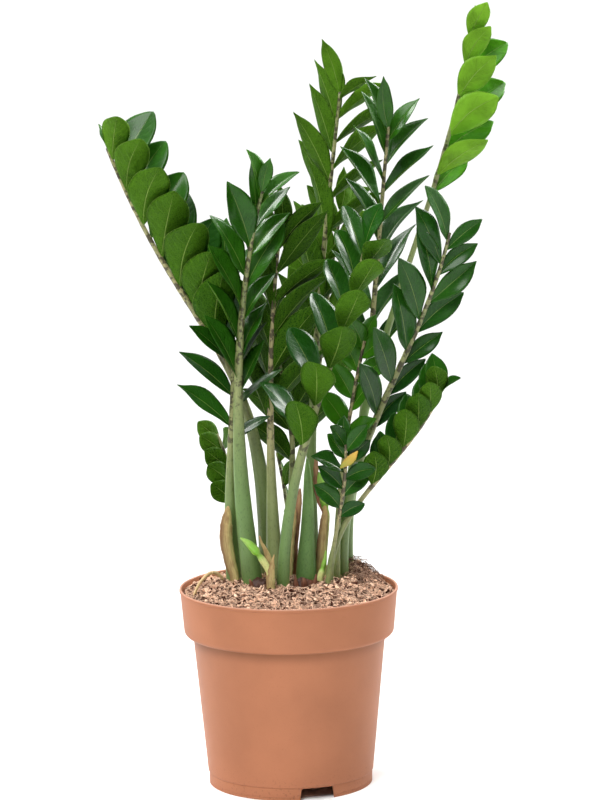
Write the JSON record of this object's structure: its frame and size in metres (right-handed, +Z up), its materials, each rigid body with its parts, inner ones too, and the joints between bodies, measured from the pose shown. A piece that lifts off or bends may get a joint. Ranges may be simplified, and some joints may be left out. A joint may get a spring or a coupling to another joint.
{
  "type": "potted zz plant",
  "caption": "Upright evergreen houseplant with arching stems of glossy paired leaflets, growing in coir soil in a round nursery pot with a deep rim.",
  "frame": {"origin": "middle of the plant's whole plan, on the surface that the pot stands on", "axes": "+Z up, the pot's height and the longest extent; -Y to the viewer and +X to the viewer's right in the picture"},
  "size_m": [0.3903, 0.2602, 0.7459],
  "materials": {
    "terracotta_plastic": "moulded, satin matte, terracotta-coloured",
    "coir_soil": "loose fibrous coir and peat, matte",
    "tuber_skin": "brown flaky skin",
    "frond": "waxy leaf, glossy above and satin below",
    "stem": "fleshy green stem, satin",
    "shoot": "young yellow-green shoot, satin",
    "papery_sheath": "dry papery tan sheath",
    "root": "pale dry root"
  },
  "bodies": {
    "root": {"pot": "terracotta_plastic", "soil": "coir_soil", "tuber_left": "tuber_skin", "tuber_right": "tuber_skin", "frond_back": "frond", "frond_centre_back": "frond", "frond_centre_left": "frond", "frond_front_centre": "frond", "frond_front_left": "frond", "frond_left": "frond", "frond_low_right": "frond", "frond_pale_left": "frond", "frond_right": "frond", "frond_small_back": "frond", "frond_small_left": "frond", "frond_small_right": "frond", "frond_tall_back": "frond", "frond_tall_centre": "frond", "frond_tallest_right": "frond", "frond_thin_centre": "frond", "sheath_front": "papery_sheath", "sheath_left": "papery_sheath", "sheath_middle": "papery_sheath", "sheath_right": "papery_sheath", "shoot_front": "shoot", "shoot_right": "shoot", "shoot_small": "shoot", "spear": "stem", "surface_root": "root"}
  },
  "joints": []
}
